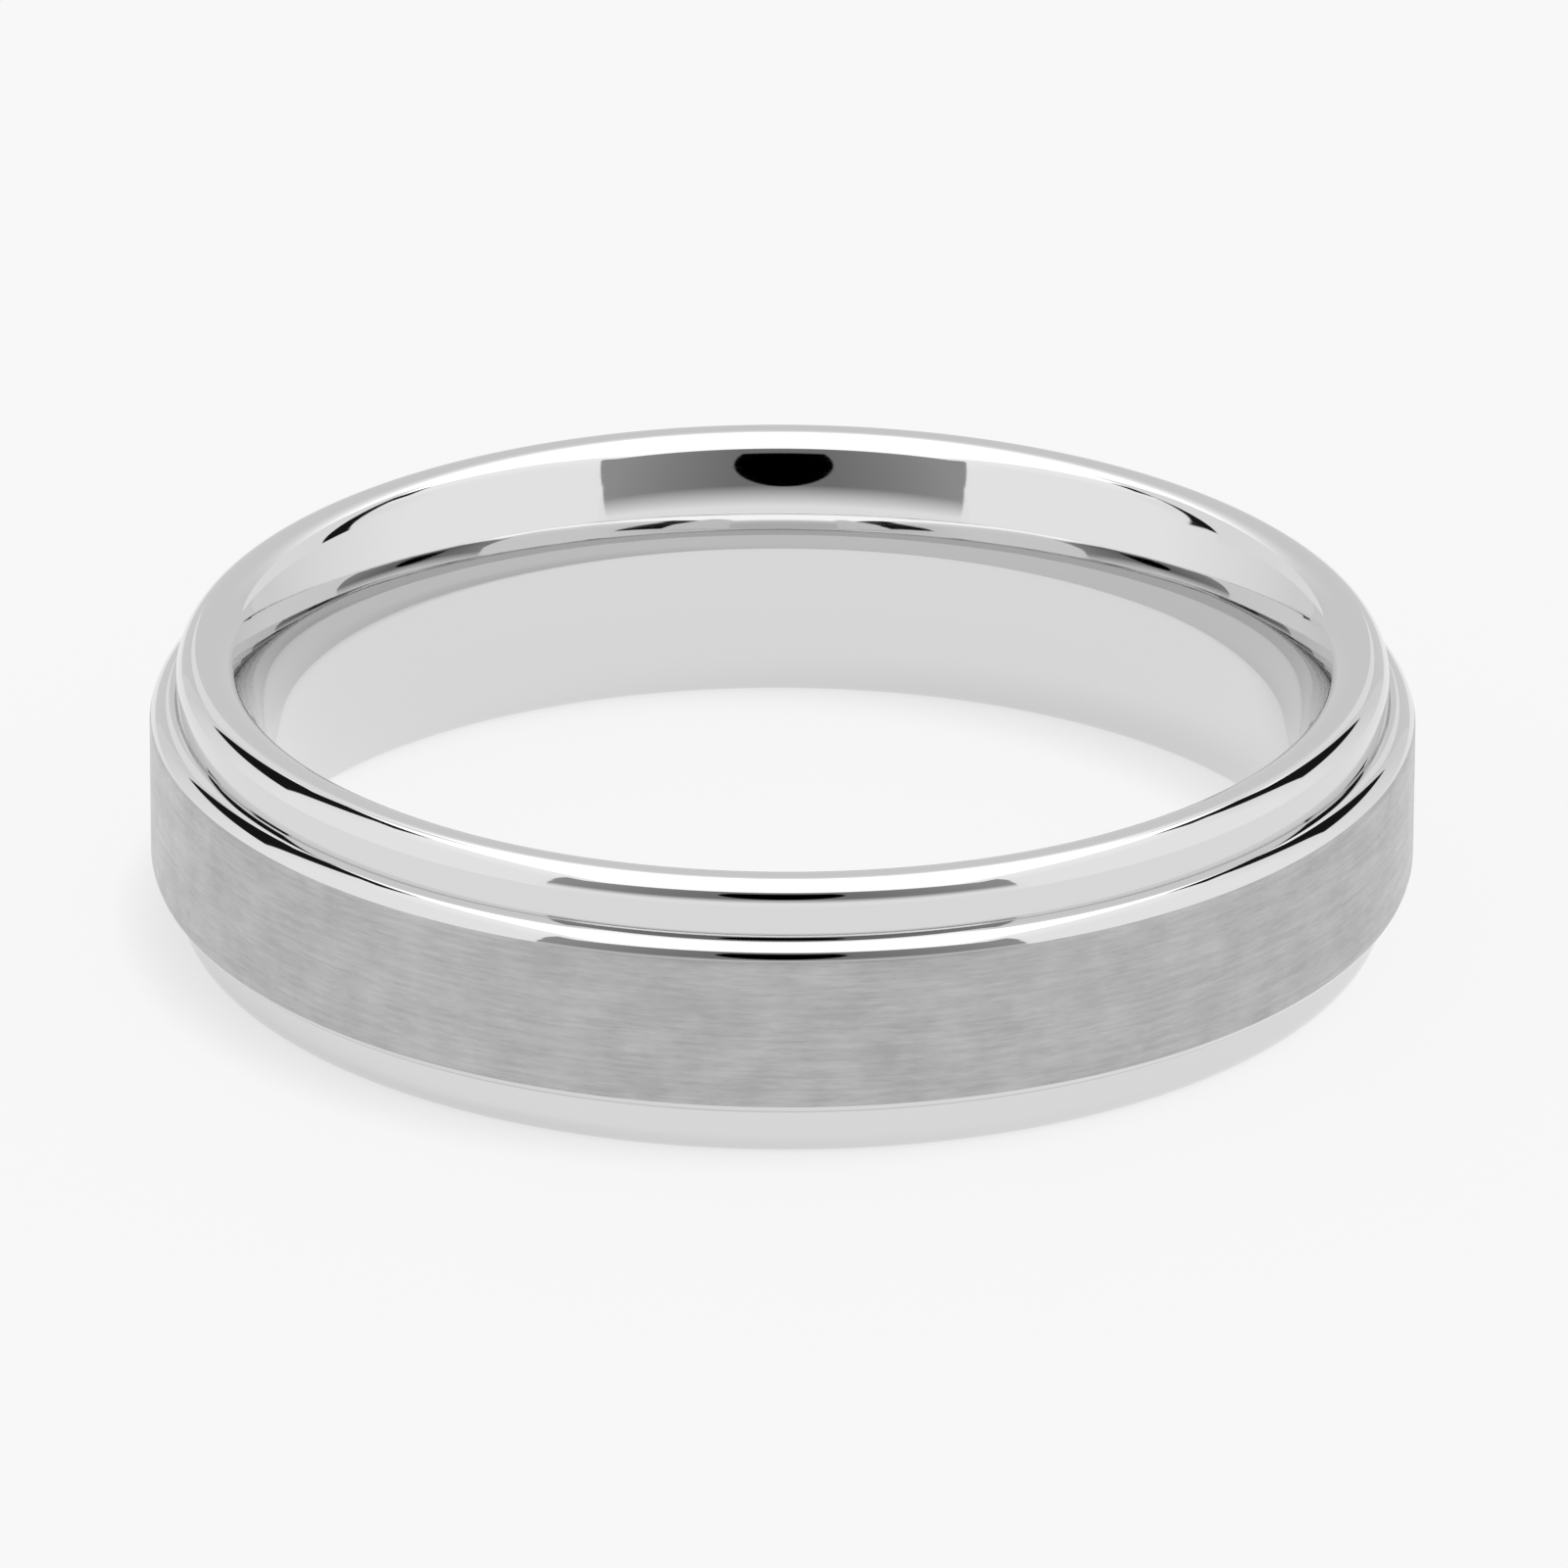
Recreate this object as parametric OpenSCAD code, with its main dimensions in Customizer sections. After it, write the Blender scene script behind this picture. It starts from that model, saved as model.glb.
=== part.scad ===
// Comfort-fit wedding band lying on its side edge, finger hole upright along Z.
// A full-width polished sleeve carries a narrower raised centre band, shrunk round its middle.
// Origin: on the ring's axis, in the plane that the lower rim stands on.

/* [Ring size] */
// Width of the ring, measured along the finger
ring_width = 5.0; // [4.6:0.1:5.1]
// Inside diameter at the narrowest circle
bore_d = 18.0; // [14:0.1:23]
// Wall of the sleeve at the narrowest circle
sleeve_wall = 1.56; // [1.56:0.02:2.2]

/* [Centre band] */
// Width of the raised centre band
band_width = 3.2; // [2:0.1:3.6]
// Height of the step from the sleeve up to the centre band
band_step = 0.47; // [0.47:0.01:0.8]
// Radius of the centre band's rounded shoulders
shoulder_r = 0.43; // [0.1:0.01:0.43]
// Chamfer that breaks the two inner edges of the centre band
edge_break = 0.03; // [0.01:0.01:0.03]

/* [Sleeve rims] */
// Radius of the outer corner of each rim
rim_corner_r = 0.43; // [0.1:0.01:0.45]
// Radius of the corner where each rim turns into the bore
mouth_corner_r = 0.51; // [0.45:0.01:0.55]

/* [Comfort-fit bore] */
// Width of the plain cylindrical land at mid-width
land_width = 0.6; // [0.5:0.1:0.8]
// Radius that eases the land into the dome
ease_r = 2.5; // [2.2:0.1:2.8]
// Radius of the dome on each side of the land
dome_r = 5.8; // [5.4:0.1:6.2]

/* [Hidden] */
$fn = 240;

bore_r = bore_d / 2;
sleeve_r = bore_r + sleeve_wall;
band_r = sleeve_r + band_step;
band_z = [(ring_width - band_width) / 2, (ring_width + band_width) / 2];

// Directions that the bore's surface faces where one arc ends and the next begins,
// in degrees from straight out: 180 faces the axis, 90 faces along the finger.
LAND_DIR = 180;
EASE_DIR = 173;
DOME_DIR = 166;
FLANK_DIR = 147;
RIM_DIR = 90;

// How many degrees the waste outside an arc widens at each end.
WASTE_SPREAD = 4;

// The flank takes up the height that the land, the other arcs and the corner leave.
flank_r = ((ring_width - land_width) / 2
    - ease_r * sin(EASE_DIR)
    - dome_r * (sin(DOME_DIR) - sin(EASE_DIR))
    - mouth_corner_r * (1 - sin(FLANK_DIR))) / (sin(FLANK_DIR) - sin(DOME_DIR));

function on_arc(centre, r, a) = centre + r * [cos(a), sin(a)];

// Arcs that run on from one another without a kink: each is [centre, radius, from, to].
function arc_chain(start, from, steps, i = 0) =
    i == len(steps) ? [] :
    let (r = steps[i][0], to = steps[i][1], centre = start - r * [cos(from), sin(from)])
    concat([[centre, r, from, to]], arc_chain(on_arc(centre, r, to), to, steps, i + 1));

// Upper half of the sleeve's section: the bore's arcs from the land up to the rim,
// then the rim's outer corner.
bore_arcs = arc_chain([bore_r, (ring_width + land_width) / 2], LAND_DIR,
    [[ease_r, EASE_DIR], [dome_r, DOME_DIR], [flank_r, FLANK_DIR], [mouth_corner_r, RIM_DIR]]);
rim_arc = [[sleeve_r - rim_corner_r, ring_width - rim_corner_r], rim_corner_r, 90, 0];

// Upper half of the centre band's section: the edge break, then the shoulder.
break_points = [[sleeve_r, band_z[1] - edge_break], [sleeve_r + edge_break, band_z[1]]];
shoulder_arc = [[band_r - shoulder_r, band_z[1] - shoulder_r], shoulder_r, 90, 0];

function across(p) = [p[0], ring_width - p[1]];
function reversed(list) = [for (i = [len(list) - 1 : -1 : 0]) list[i]];

// What a lathe takes off outside an arc. Past the arc it widens, to overlap the next arc's waste.
module arc_waste(arc) {
    centre = arc[0];
    r = arc[1];
    difference() {
        polygon([on_arc(centre, r / 2, arc[2]), on_arc(centre, r, arc[2]),
            on_arc(centre, r + ring_width, arc[2] + WASTE_SPREAD),
            on_arc(centre, r + ring_width, arc[3] - WASTE_SPREAD),
            on_arc(centre, r, arc[3]), on_arc(centre, r / 2, arc[3])]);
        translate(centre) circle(r);
    }
}

// A section that is the same above and below mid-width, given by its upper half:
// the corners of the blank, and the arcs turned on it.
module mirrored_section(blank, arcs) {
    difference() {
        polygon(concat(blank, [for (p = reversed(blank)) across(p)]));
        for (arc = arcs) {
            arc_waste(arc);
            translate([0, ring_width]) mirror([0, 1]) arc_waste(arc);
        }
    }
}

// Full-width sleeve: domed bore, both polished rims and the plain seat under the centre band.
module comfort_fit_sleeve() {
    color("#E4E3E1")
        rotate_extrude()
            mirrored_section([[bore_r, ring_width], [sleeve_r, ring_width]], concat(bore_arcs, [rim_arc]));
}

// Raised centre band: brushed face, rounded shoulders, bore the same size as the sleeve.
module centre_band() {
    color("#B9B9B8")
        rotate_extrude()
            mirrored_section(concat(break_points, [[band_r, band_z[1]]]), [shoulder_arc]);
}

comfort_fit_sleeve();
centre_band();
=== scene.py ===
import math

import bpy
from mathutils import Matrix, Vector


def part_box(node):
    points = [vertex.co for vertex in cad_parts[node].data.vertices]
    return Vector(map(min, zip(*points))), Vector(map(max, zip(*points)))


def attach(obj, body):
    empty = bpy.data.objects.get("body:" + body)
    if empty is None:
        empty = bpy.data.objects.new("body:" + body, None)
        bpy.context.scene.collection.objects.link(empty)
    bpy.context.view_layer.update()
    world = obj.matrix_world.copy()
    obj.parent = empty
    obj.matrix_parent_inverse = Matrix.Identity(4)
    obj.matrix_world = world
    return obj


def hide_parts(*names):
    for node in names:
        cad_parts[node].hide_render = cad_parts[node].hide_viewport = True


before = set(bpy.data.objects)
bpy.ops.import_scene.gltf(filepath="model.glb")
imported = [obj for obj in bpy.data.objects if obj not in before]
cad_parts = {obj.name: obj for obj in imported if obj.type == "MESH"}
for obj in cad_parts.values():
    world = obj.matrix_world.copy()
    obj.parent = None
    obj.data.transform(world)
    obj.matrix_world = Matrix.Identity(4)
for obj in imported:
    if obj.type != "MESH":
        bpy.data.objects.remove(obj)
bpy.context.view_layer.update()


# Sleeve: the full-width body of the ring, in white gold with a bright rhodium plate.
# It is turned from a tube: a domed comfort-fit bore, two rounded rims and a plain seat
# outside for the centre band, all mirror polished.
MM = 0.001
sleeve_low, sleeve_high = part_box("comfort_fit_sleeve")
width = sleeve_high[2] - sleeve_low[2]
sleeve_r = sleeve_high[0]
bore_r = 9.0 * MM
land_width = 0.6 * MM
ease_r = 2.5 * MM
dome_r = 5.8 * MM
mouth_corner_r = 0.51 * MM
rim_corner_r = 0.43 * MM

# Directions that the section faces, in degrees: where the bore's arcs meet, and the plain ways.
EASE_END, DOME_END, FLANK_END = 173, 166, 147
OUTWARD, UPWARD, INWARD, DOWNWARD = 0, 90, 180, -90
STEPS_ROUND = 540
POLISHED, BRUSHED = 0, 1


def linear(code):
    """An sRGB hex colour as Blender's linear red, green and blue, with full alpha."""
    parts = [int(code[i:i + 2], 16) / 255 for i in (1, 3, 5)]
    return [p / 12.92 if p <= 0.04045 else ((p + 0.055) / 1.055) ** 2.4 for p in parts] + [1.0]


def add(tree, kind, inputs=None, **settings):
    """A node of this kind. An input takes a value, a socket, or a node for its first output."""
    node = tree.nodes.new(kind)
    for name, value in settings.items():
        setattr(node, name, value)
    for key, value in (inputs or {}).items():
        if isinstance(value, bpy.types.Node):
            value = value.outputs[0]
        if isinstance(value, bpy.types.NodeSocket):
            tree.links.new(value, node.inputs[key])
        else:
            node.inputs[key].default_value = value
    return node


def toward(degrees):
    """The unit direction in the section's plane: 0 is outward, 90 is up along the finger."""
    return Vector((math.cos(math.radians(degrees)), math.sin(math.radians(degrees))))


def arc(centre, r, start, end, steps):
    """Points along an arc of the section, each with the direction its surface faces."""
    turns = [start + (end - start) * i / steps for i in range(steps + 1)]
    return [(centre + r * toward(t), toward(t)) for t in turns]


def flat(start, end, facing):
    """The two ends of a straight stretch of the section, which faces one way."""
    return [(Vector(start), toward(facing)), (Vector(end), toward(facing))]


def turn(name, stretches, materials):
    """A ring turned from stretches of its section, each with its points and its material's number."""
    mesh = bpy.data.meshes.new(name)
    verts, faces, face_material, normals = [], [], [], []
    for points, number in stretches:
        base = len(verts)
        n = len(points)
        for i in range(STEPS_ROUND):
            around = 2 * math.pi * i / STEPS_ROUND
            verts += [(p.x * math.cos(around), p.x * math.sin(around), p.y) for p, d in points]
        for i in range(STEPS_ROUND):
            j = (i + 1) % STEPS_ROUND
            for k in range(n - 1):
                corners = ((i, k), (i, k + 1), (j, k + 1), (j, k))
                faces.append([base + column * n + row for column, row in corners])
                face_material.append(number)
                for column, row in corners:
                    around = 2 * math.pi * column / STEPS_ROUND
                    d = points[row][1]
                    normals.append((d.x * math.cos(around), d.x * math.sin(around), d.y))
    mesh.from_pydata(verts, [], faces)
    mesh.polygons.foreach_set("material_index", face_material)
    mesh.polygons.foreach_set("use_smooth", [True] * len(faces))
    mesh.normals_split_custom_set(normals)
    for material in materials:
        mesh.materials.append(material)
    ring = bpy.data.objects.new(name, mesh)
    bpy.context.scene.collection.objects.link(ring)
    return ring


def mirrored(stretches):
    """The same stretches below mid-width, so that the section closes."""
    return [([(Vector((p.x, width - p.y)), Vector((d.x, -d.y))) for p, d in reversed(points)], number)
            for points, number in reversed(stretches)]


# Mirror-polished white gold: bright and nearly colourless. The buffing wheel leaves a very faint
# swell, and hairlines round the ring that take the last sharpness off reflections. The hairlines
# are drawn coarser than real, so that they show.
polished = bpy.data.materials.new("mirror_polished_white_gold")
polished.use_nodes = True
tree = polished.node_tree
shader = tree.nodes["Principled BSDF"]
shader.inputs["Metallic"].default_value = 1.0
shader.inputs["Base Color"].default_value = linear("#DEDEDE")
SWELL = 1.6 * MM
SWELL_DEPTH = 0.0004 * MM
HAIRLINE = (2.4 * MM, 0.03 * MM)
HAIRLINE_DEPTH = 0.00001 * MM
place = add(tree, "ShaderNodeTexCoord").outputs["Object"]
swell = add(tree, "ShaderNodeTexNoise", {"Vector": place, "Scale": 1 / SWELL, "Detail": 1.0})
along = add(tree, "ShaderNodeMapping", {
    "Vector": place, "Scale": (1 / HAIRLINE[0], 1 / HAIRLINE[0], 1 / HAIRLINE[1])})
hairlines = add(tree, "ShaderNodeTexNoise", {"Vector": along, "Scale": 1.0, "Detail": 2.0})
haze = add(tree, "ShaderNodeMapRange", {
    "Value": hairlines, "From Min": 0.35, "From Max": 0.7, "To Min": 0.02, "To Max": 0.05})
swell_bump = add(tree, "ShaderNodeBump", {"Height": swell, "Strength": 1.0, "Distance": SWELL_DEPTH})
polish_bump = add(tree, "ShaderNodeBump", {
    "Height": hairlines, "Strength": 1.0, "Distance": HAIRLINE_DEPTH, "Normal": swell_bump})
tree.links.new(haze.outputs[0], shader.inputs["Roughness"])
tree.links.new(polish_bump.outputs[0], shader.inputs["Normal"])

# The bore's upper half runs from the land through an easing arc, a dome, a flank and the mouth's
# corner, without a kink. The flank takes up the height that the others leave.
flank_r = ((width - land_width) / 2 - ease_r * toward(EASE_END).y
           - dome_r * (toward(DOME_END).y - toward(EASE_END).y)
           - mouth_corner_r * (1 - toward(FLANK_END).y)) / (toward(FLANK_END).y - toward(DOME_END).y)
land_low = (width - land_width) / 2
land_high = (width + land_width) / 2
start = Vector((bore_r, land_high))
facing = INWARD
upper = []
for r, end, steps in ((ease_r, EASE_END, 8), (dome_r, DOME_END, 12), (flank_r, FLANK_END, 24),
                      (mouth_corner_r, UPWARD, 30)):
    points = arc(start - r * toward(facing), r, facing, end, steps)
    upper.append((points, POLISHED))
    start, facing = points[-1][0], end
corner_centre = Vector((sleeve_r - rim_corner_r, width - rim_corner_r))
upper.append((flat(start, (corner_centre.x, width), UPWARD), POLISHED))
upper.append((arc(corner_centre, rim_corner_r, UPWARD, OUTWARD, 30), POLISHED))
land = [(flat((bore_r, land_low), (bore_r, land_high), INWARD), POLISHED)]
seat = [(flat((sleeve_r, width - rim_corner_r), (sleeve_r, rim_corner_r), OUTWARD), POLISHED)]
sleeve = turn("sleeve", land + upper + seat + mirrored(upper), [polished])
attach(sleeve, "root")
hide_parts("comfort_fit_sleeve")


# Centre band: a narrower band of the same white gold, shrunk round the middle of the sleeve.
# Its shoulders are rounded and polished, and its face is brushed round the ring.
band_low, band_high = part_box("centre_band")
band_r = band_high[0]
shoulder_r = 0.43 * MM
edge_break = 0.03 * MM
BRUSH_UPPER_END, BRUSH_LOWER_END = 20, -28

# Brushed white gold: fine scratches round the ring spread reflections across the width, so the
# face reads as a soft even grey, broken by short streaks and by faint patches where the brush bit
# more. The scratches are drawn coarser than real, so that they show.
brushed = bpy.data.materials.new("brushed_white_gold")
brushed.use_nodes = True
tree = brushed.node_tree
shader = tree.nodes["Principled BSDF"]
shader.inputs["Metallic"].default_value = 1.0
shader.inputs["Anisotropic"].default_value = 0.85
shader.inputs["Anisotropic Rotation"].default_value = 0.25
SCRATCH = (0.3 * MM, 0.045 * MM)
LONG_SCRATCH = (1.6 * MM, 0.08 * MM)
SCRATCH_DEPTH = 0.0015 * MM
PATCH = 0.8 * MM
SHALLOW, DEEP = 1.15, 1.85
place = add(tree, "ShaderNodeTexCoord").outputs["Object"]
along = add(tree, "ShaderNodeMapping", {
    "Vector": place, "Scale": (1 / SCRATCH[0], 1 / SCRATCH[0], 1 / SCRATCH[1])})
scratches = add(tree, "ShaderNodeTexNoise", {
    "Vector": along, "Scale": 1.0, "Detail": 3.0, "Roughness": 0.6})
along = add(tree, "ShaderNodeMapping", {
    "Vector": place, "Scale": (1 / LONG_SCRATCH[0], 1 / LONG_SCRATCH[0], 1 / LONG_SCRATCH[1])})
long_scratches = add(tree, "ShaderNodeTexNoise", {"Vector": along, "Scale": 1.0, "Detail": 2.0})
patches = add(tree, "ShaderNodeTexNoise", {"Vector": place, "Scale": 1 / PATCH, "Detail": 2.0})
grain = add(tree, "ShaderNodeMath", {0: scratches, 1: long_scratches}, operation="ADD")
depth = add(tree, "ShaderNodeMath", {0: grain, 1: patches}, operation="ADD")
tone = add(tree, "ShaderNodeMapRange", {"Value": depth, "From Min": SHALLOW, "From Max": DEEP})
colour = add(tree, "ShaderNodeMix", {"Factor": tone}, data_type="RGBA")
colour.inputs["A"].default_value = linear("#AFAFAF")
colour.inputs["B"].default_value = linear("#C1C1C1")
rough = add(tree, "ShaderNodeMapRange", {
    "Value": depth, "From Min": SHALLOW, "From Max": DEEP, "To Min": 0.34, "To Max": 0.28})
scratch_bump = add(tree, "ShaderNodeBump", {"Height": grain, "Strength": 1.0, "Distance": SCRATCH_DEPTH})
round_ring = add(tree, "ShaderNodeTangent", direction_type="RADIAL", axis="Z")
tree.links.new(colour.outputs["Result"], shader.inputs["Base Color"])
tree.links.new(rough.outputs[0], shader.inputs["Roughness"])
tree.links.new(scratch_bump.outputs[0], shader.inputs["Normal"])
tree.links.new(round_ring.outputs[0], shader.inputs["Tangent"])

# The section runs from the upper inner edge over the top, down the face and back underneath.
inner_r = sleeve_r
broken_r = sleeve_r + edge_break
top, underside = band_high[2], band_low[2]
upper_shoulder = Vector((band_r - shoulder_r, top - shoulder_r))
lower_shoulder = Vector((band_r - shoulder_r, underside + shoulder_r))
face = (arc(upper_shoulder, shoulder_r, BRUSH_UPPER_END, OUTWARD, 8)
        + arc(lower_shoulder, shoulder_r, OUTWARD, BRUSH_LOWER_END, 8))
band = turn("centre_band_turned", [
    (flat((inner_r, top - edge_break), (broken_r, top), 135), POLISHED),
    (flat((broken_r, top), (upper_shoulder.x, top), UPWARD), POLISHED),
    (arc(upper_shoulder, shoulder_r, UPWARD, BRUSH_UPPER_END, 24), POLISHED),
    (face, BRUSHED),
    (arc(lower_shoulder, shoulder_r, BRUSH_LOWER_END, DOWNWARD, 24), POLISHED),
    (flat((lower_shoulder.x, underside), (broken_r, underside), DOWNWARD), POLISHED),
    (flat((broken_r, underside), (inner_r, underside + edge_break), 225), POLISHED),
    (flat((inner_r, underside + edge_break), (inner_r, top - edge_break), INWARD), POLISHED),
], [polished, brushed])
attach(band, "root")
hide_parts("centre_band")


# Floor: a sheet of opal acrylic on a light table, the surface that the ring lies on.
# Its light comes up through the sheet, and the thin soft shadow round the ring is a painted shadow in that
# glow.
bpy.ops.mesh.primitive_plane_add(size=6, location=(0, 0, 0))
floor = bpy.context.object
floor.name = "floor_sheet"

# Matt opal acrylic: an even milky white with no shine. Its glow carries a painted shadow, dimmed where
# occlusion that looks up and to the right finds the ring within reach, so the painted shadow is deepest on
# the left.
opal = bpy.data.materials.new("matt_opal_acrylic")
opal.use_nodes = True
tree = opal.node_tree
shader = tree.nodes["Principled BSDF"]
shader.inputs["Base Color"].default_value = linear("#4B4B4B")
shader.inputs["Roughness"].default_value = 0.9
shader.inputs["Specular IOR Level"].default_value = 0.0
shader.inputs["Emission Color"].default_value = (1, 1, 1, 1)
SHADOW_REACH = 1.5 * MM
CLEAR_OF_RING = 0.69
lean = Vector((1.3, 0, 1)).normalized()
leaning = add(tree, "ShaderNodeCombineXYZ", {"X": lean.x, "Y": lean.y, "Z": lean.z})
shade = add(tree, "ShaderNodeAmbientOcclusion", {"Distance": SHADOW_REACH, "Normal": leaning}, samples=6)
# Painted shadow: the sheet's glow is dimmed where the leaned occlusion finds the ring within reach.
glow_with_painted_shadow = add(tree, "ShaderNodeMapRange", {
    "Value": shade.outputs["AO"], "From Max": CLEAR_OF_RING, "To Min": 0.67, "To Max": 0.87})
tree.links.new(glow_with_painted_shadow.outputs[0], shader.inputs["Emission Strength"])
floor.data.materials.append(opal)


# Front card of the light tent: grey card with a hole cut for the lens. The tent stands close round
# the ring, and only reflections see it. It is built of flat sheets, with all its places in mm.
scene = bpy.context.scene
TENT_SIDE = 55
TENT_FRONT = -60
TENT_BACK = 78
TENT_HEIGHT = 86


def hang(name, material_name, corners):
    """A flat glowing sheet of the tent: its shader tree, its light, and the mm places X, Y and Z."""
    mesh = bpy.data.meshes.new(name)
    mesh.from_pydata([Vector(corner) * MM for corner in corners], [], [(0, 1, 2, 3)])
    sheet = bpy.data.objects.new(name, mesh)
    scene.collection.objects.link(sheet)
    sheet.visible_camera = False
    sheet.visible_diffuse = False
    sheet.visible_shadow = False
    material = bpy.data.materials.new(material_name)
    mesh.materials.append(material)
    material.use_nodes = True
    tree = material.node_tree
    tree.nodes.clear()
    light = add(tree, "ShaderNodeEmission")
    add(tree, "ShaderNodeOutputMaterial", {"Surface": light})
    where = add(tree, "ShaderNodeTexCoord").outputs["Object"]
    millimetres = add(tree, "ShaderNodeVectorMath", {"Vector": where, "Scale": 1 / MM}, operation="SCALE")
    return tree, light, add(tree, "ShaderNodeSeparateXYZ", {"Vector": millimetres}).outputs


# Matt grey card, drawn as a dim glow of painted light: a dark even tone, a little paler toward its ends.
# Its foot fades to white, painted light where the lit floor shines on it. It widens slightly upward,
# with white past its edge, and the lens's hole is a black oval with a flat top.
CARD_HALF_WIDTH = 49.5
CARD_FLARE = 0.11
HOLE_HALF_WIDTH = 13
HOLE_HALF_HEIGHT = 24.5
HOLE_MIDDLE = 54
HOLE_TOP = 67
tree, light, (x, y, z) = hang("tent_front_card", "matt_grey_card", [
    (-TENT_SIDE, TENT_FRONT, 0), (TENT_SIDE, TENT_FRONT, 0),
    (TENT_SIDE, TENT_FRONT, TENT_HEIGHT), (-TENT_SIDE, TENT_FRONT, TENT_HEIGHT)])
off_centre = add(tree, "ShaderNodeMath", {0: x}, operation="ABSOLUTE")
card = add(tree, "ShaderNodeMapRange", {
    "Value": off_centre, "From Min": 12, "From Max": 50, "To Min": 0.20, "To Max": 0.34})
card = add(tree, "ShaderNodeMapRange", {
    "Value": z, "From Min": 31, "From Max": 13, "To Min": card, "To Max": 0.97})
flared = add(tree, "ShaderNodeMath", {0: z, 1: -CARD_FLARE, 2: off_centre}, operation="MULTIPLY_ADD")
card = add(tree, "ShaderNodeMapRange", {
    "Value": flared, "From Min": CARD_HALF_WIDTH, "From Max": CARD_HALF_WIDTH + 0.5,
    "To Min": card, "To Max": 1.0})
hole_x = add(tree, "ShaderNodeMath", {0: x, 1: HOLE_HALF_WIDTH}, operation="DIVIDE")
above_middle = add(tree, "ShaderNodeMath", {0: z, 1: HOLE_MIDDLE}, operation="SUBTRACT")
hole_z = add(tree, "ShaderNodeMath", {0: above_middle, 1: HOLE_HALF_HEIGHT}, operation="DIVIDE")
reach = add(tree, "ShaderNodeMath", {0: hole_z, 1: hole_z}, operation="MULTIPLY")
reach = add(tree, "ShaderNodeMath", {0: hole_x, 1: hole_x, 2: reach}, operation="MULTIPLY_ADD")
solid = add(tree, "ShaderNodeMapRange", {"Value": reach, "From Min": 0.96, "From Max": 1.04})
solid = add(tree, "ShaderNodeMapRange", {
    "Value": z, "From Min": HOLE_TOP - 0.5, "From Max": HOLE_TOP + 0.5, "To Min": solid, "To Max": 1.0})
card = add(tree, "ShaderNodeMath", {0: card, 1: solid}, operation="MULTIPLY")
tree.links.new(card.outputs[0], light.inputs["Strength"])


# Side sheets of the light tent: white nylon that hangs a little open behind, in a slanting gap
# onto the dark room. The right-hand gap is a little further back.
GAP_WIDTH = 37
GAP_LEAN = 0.42
GAP_FOOT = 31.5
DARK_ROOM = 0.01

# White nylon, drawn as a glow of painted light: bright and even, a little dimmer toward the back and
# brighter under the lid. The grey card's upper corner laps round the front edge.
for side, wall, gap_start in (("left", -TENT_SIDE, 0.5), ("right", TENT_SIDE, 9.5)):
    tree, light, (x, y, z) = hang(f"tent_{side}_sheet", f"white_nylon_{side}", [
        (wall, TENT_FRONT, 0), (wall, TENT_BACK, 0),
        (wall, TENT_BACK, TENT_HEIGHT), (wall, TENT_FRONT, TENT_HEIGHT)])
    sheet = add(tree, "ShaderNodeMapRange", {
        "Value": y, "From Min": 5, "From Max": 60, "To Min": 1.03, "To Max": 0.80})
    sheet = add(tree, "ShaderNodeMapRange", {
        "Value": z, "From Min": 60, "From Max": 84, "To Min": sheet, "To Max": 1.1})
    lap = add(tree, "ShaderNodeMath", {0: z, 1: -0.25, 2: y}, operation="MULTIPLY_ADD")
    sheet = add(tree, "ShaderNodeMapRange", {
        "Value": lap, "From Min": -71.0, "From Max": -71.5, "To Min": sheet, "To Max": 0.34})
    slant = add(tree, "ShaderNodeMath", {0: z, 1: -GAP_LEAN, 2: y}, operation="MULTIPLY_ADD")
    gap = add(tree, "ShaderNodeMapRange", {
        "Value": slant, "From Min": gap_start - 0.5, "From Max": gap_start + 0.5,
        "To Min": sheet, "To Max": DARK_ROOM})
    gap_end = gap_start + GAP_WIDTH
    gap = add(tree, "ShaderNodeMapRange", {
        "Value": slant, "From Min": gap_end - 0.5, "From Max": gap_end + 0.5,
        "To Min": gap, "To Max": sheet})
    gap = add(tree, "ShaderNodeMapRange", {
        "Value": z, "From Min": GAP_FOOT + 0.5, "From Max": GAP_FOOT - 0.5, "To Min": gap, "To Max": sheet})
    tree.links.new(gap.outputs[0], light.inputs["Strength"])


# Wings of the light tent: two small boards hung behind the ring, which hide most of each gap
# from the far side of it. Their front edges lean back.
WING_SIDE = 20
WING_FOOT, WING_TOP = 14, 60
WING_BACK = 45

# White foam board: a plain even white, drawn as a glow of painted light.
for side, wall, front_foot, front_top in (("left", -WING_SIDE, 12.5, 26.7),
                                          ("right", WING_SIDE, 16.5, 36.0)):
    light = hang(f"tent_{side}_wing", f"white_foam_board_{side}", [
        (wall, front_foot, WING_FOOT), (wall, WING_BACK, WING_FOOT),
        (wall, WING_BACK, WING_TOP), (wall, front_top, WING_TOP)])[1]
    light.inputs["Strength"].default_value = 0.92


# Back sheet of the light tent: one piece of white nylon from the lid to the floor,
# which gets less light low down than the sides do.
tree, light, (x, y, z) = hang("tent_back_sheet", "white_nylon_back", [
    (-TENT_SIDE, TENT_BACK, 0), (TENT_SIDE, TENT_BACK, 0),
    (TENT_SIDE, TENT_BACK, TENT_HEIGHT), (-TENT_SIDE, TENT_BACK, TENT_HEIGHT)])

# White nylon again, drawn as a glow of painted light: a pale grey low down, which brightens faster and
# faster toward the lid.
upward = add(tree, "ShaderNodeMapRange", {"Value": z, "From Min": 36, "From Max": 88})
upward = add(tree, "ShaderNodeMath", {0: upward, 1: upward}, operation="MULTIPLY")
back = add(tree, "ShaderNodeMapRange", {"Value": upward, "To Min": 0.74, "To Max": 1.35})
tree.links.new(back.outputs[0], light.inputs["Strength"])


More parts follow.
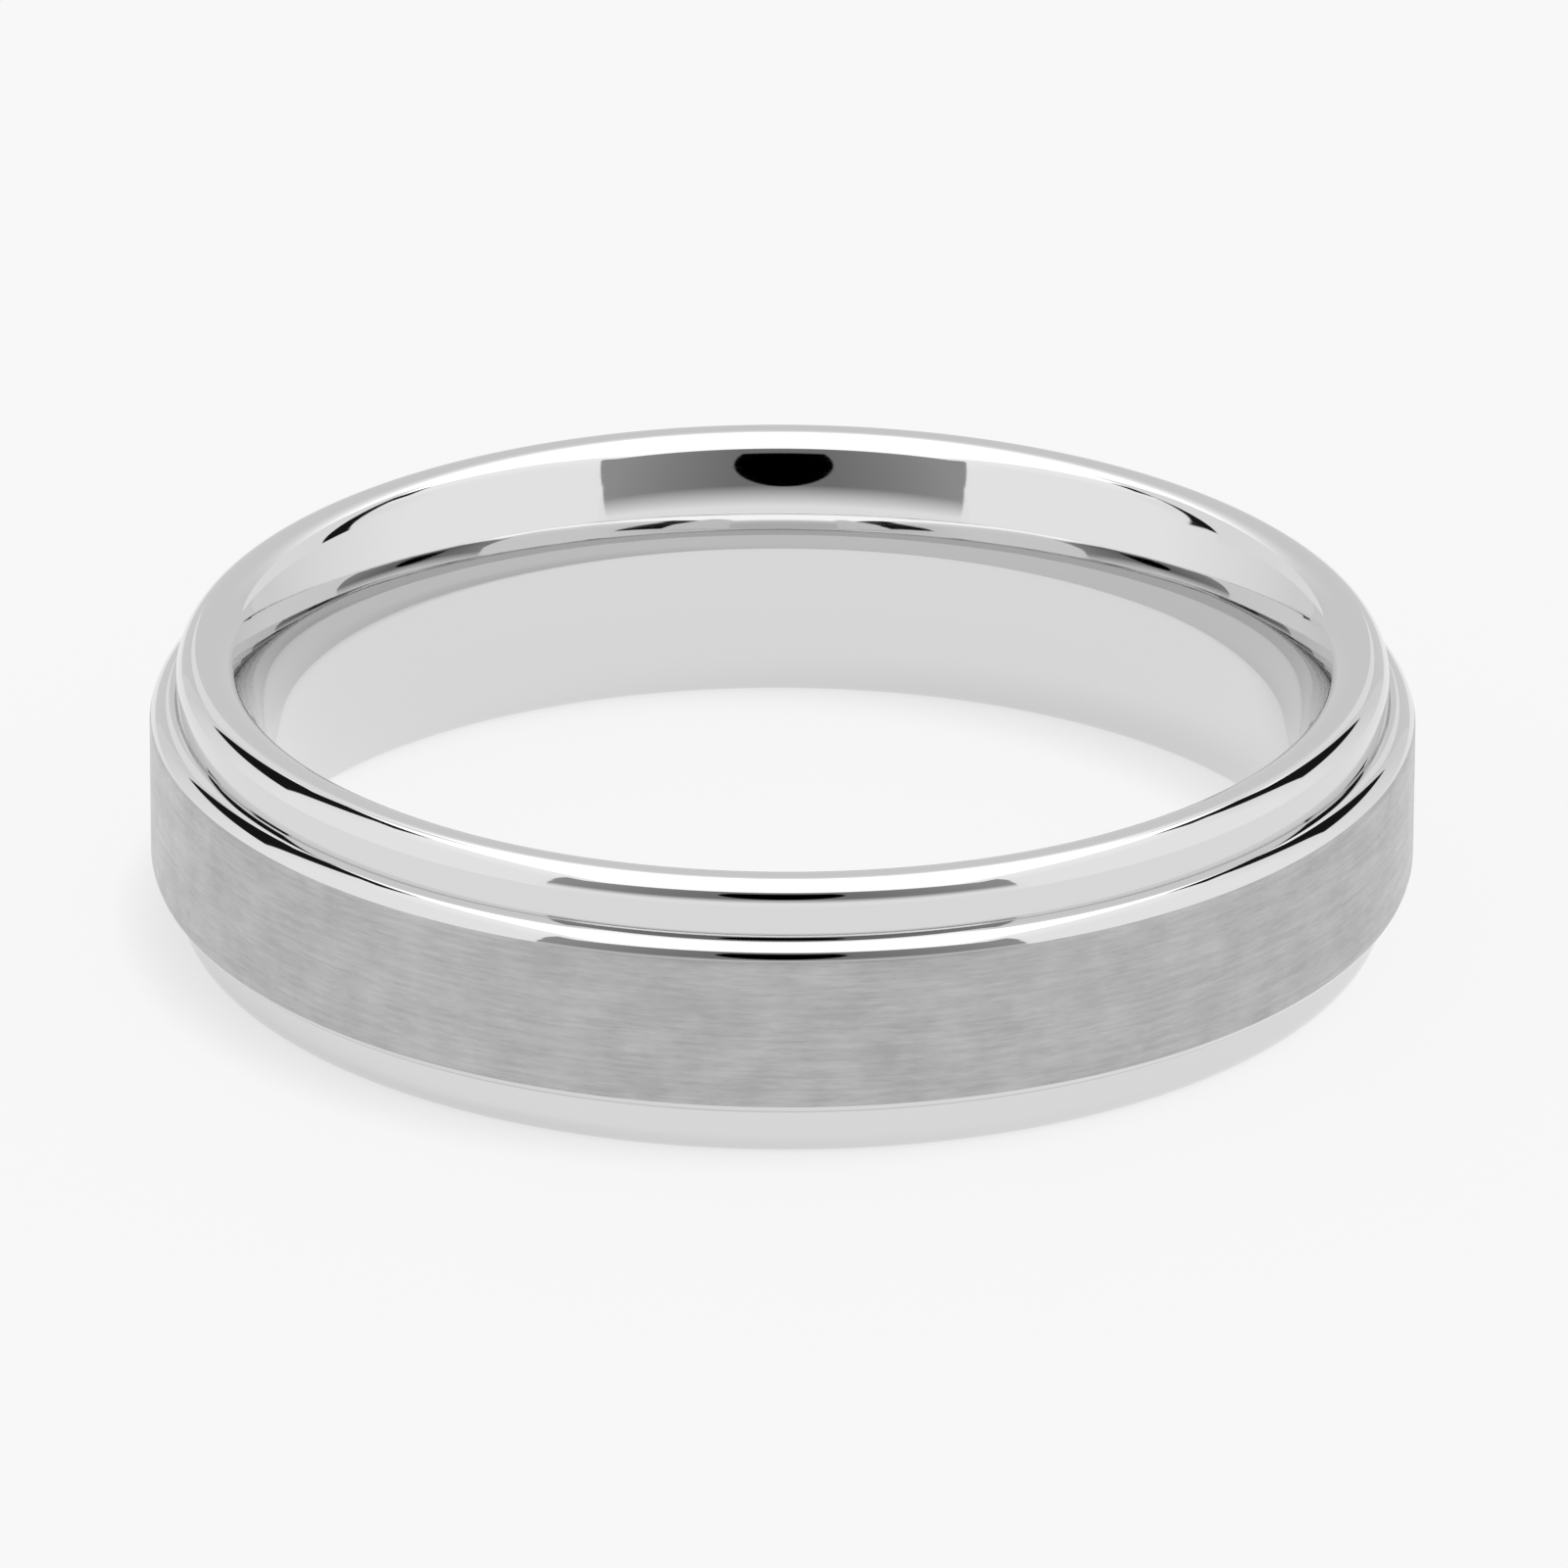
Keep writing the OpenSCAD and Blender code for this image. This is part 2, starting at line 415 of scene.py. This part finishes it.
# Lid of the light tent: a softbox laid on top, the main light. It stops short of the sides and the
# front, and the side gaps run on beside it.
SOFTBOX_HALF_WIDTH = 44
SOFTBOX_FRONT, SOFTBOX_BACK = -53, 76
LID_GAP_LENGTH = 39
LID_GAP_SIDE = 43.5
LEFT_GAP_START, RIGHT_GAP_START = 29, 38

# Diffusing fabric over a lamp: the brightest white, even all over, with soft edges.
tree, light, (x, y, z) = hang("tent_lid_softbox", "softbox_diffuser", [
    (-TENT_SIDE, TENT_FRONT, TENT_HEIGHT), (TENT_SIDE, TENT_FRONT, TENT_HEIGHT),
    (TENT_SIDE, TENT_BACK, TENT_HEIGHT), (-TENT_SIDE, TENT_BACK, TENT_HEIGHT)])
off_centre = add(tree, "ShaderNodeMath", {0: x}, operation="ABSOLUTE")
lid = add(tree, "ShaderNodeMapRange", {
    "Value": off_centre, "From Min": SOFTBOX_HALF_WIDTH - 2, "From Max": SOFTBOX_HALF_WIDTH + 2,
    "To Min": 1.7, "To Max": 1.1})
lid = add(tree, "ShaderNodeMapRange", {
    "Value": y, "From Min": SOFTBOX_FRONT + 2, "From Max": SOFTBOX_FRONT - 2, "To Min": lid, "To Max": 1.1})
lid = add(tree, "ShaderNodeMapRange", {
    "Value": y, "From Min": SOFTBOX_BACK - 2, "From Max": SOFTBOX_BACK + 2, "To Min": lid, "To Max": 1.1})
gap_start = add(tree, "ShaderNodeMapRange", {
    "Value": x, "From Min": -1, "From Max": 1, "To Min": LEFT_GAP_START, "To Max": RIGHT_GAP_START})
into_gap = add(tree, "ShaderNodeMath", {0: y, 1: gap_start}, operation="SUBTRACT")
gap = add(tree, "ShaderNodeMapRange", {
    "Value": into_gap, "From Min": -0.5, "From Max": 0.5, "To Min": lid, "To Max": DARK_ROOM})
gap = add(tree, "ShaderNodeMapRange", {
    "Value": into_gap, "From Min": LID_GAP_LENGTH - 0.5, "From Max": LID_GAP_LENGTH + 0.5,
    "To Min": gap, "To Max": lid})
gap = add(tree, "ShaderNodeMapRange", {
    "Value": off_centre, "From Min": LID_GAP_SIDE + 0.5, "From Max": LID_GAP_SIDE - 0.5,
    "To Min": gap, "To Max": lid})
tree.links.new(gap.outputs[0], light.inputs["Strength"])


# Room: even white light all round, which falls on the floor.
# The bounces are enough for light to find its way out of the bore.
world = bpy.data.worlds.new("room_light")
scene.world = world
world.use_nodes = True
background = world.node_tree.nodes["Background"]
background.inputs["Color"].default_value = (1, 1, 1, 1)
background.inputs["Strength"].default_value = 0.95
scene.cycles.max_bounces = 16
scene.cycles.glossy_bounces = 12


# Camera: it looks down on the ring from the front through a long lens, with the slightest roll.
# The aim is a touch below and behind the ring's middle.
CAMERA_ELEVATION = math.radians(23.22)
CAMERA_DISTANCE = 303.9 * MM
AIM_FROM_MIDDLE = Vector((0.03, 0.071, -0.1654)) * MM
ROLL = 0.0043
camera_data = bpy.data.cameras.new("camera")
camera_data.sensor_width = 36
camera_data.lens = 399.6
camera_data.clip_start = 0.01
camera = bpy.data.objects.new("camera", camera_data)
scene.collection.objects.link(camera)
ring_middle = Vector((0, 0, width / 2))
back_from = Vector((0, -math.cos(CAMERA_ELEVATION), math.sin(CAMERA_ELEVATION)))
camera.location = ring_middle + back_from * CAMERA_DISTANCE
look = (ring_middle + AIM_FROM_MIDDLE - camera.location).to_track_quat("-Z", "Y")
camera.rotation_euler = (look.to_matrix() @ Matrix.Rotation(ROLL, 3, "Z")).to_euler()
scene.camera = camera
scene.view_settings.view_transform = "Standard"
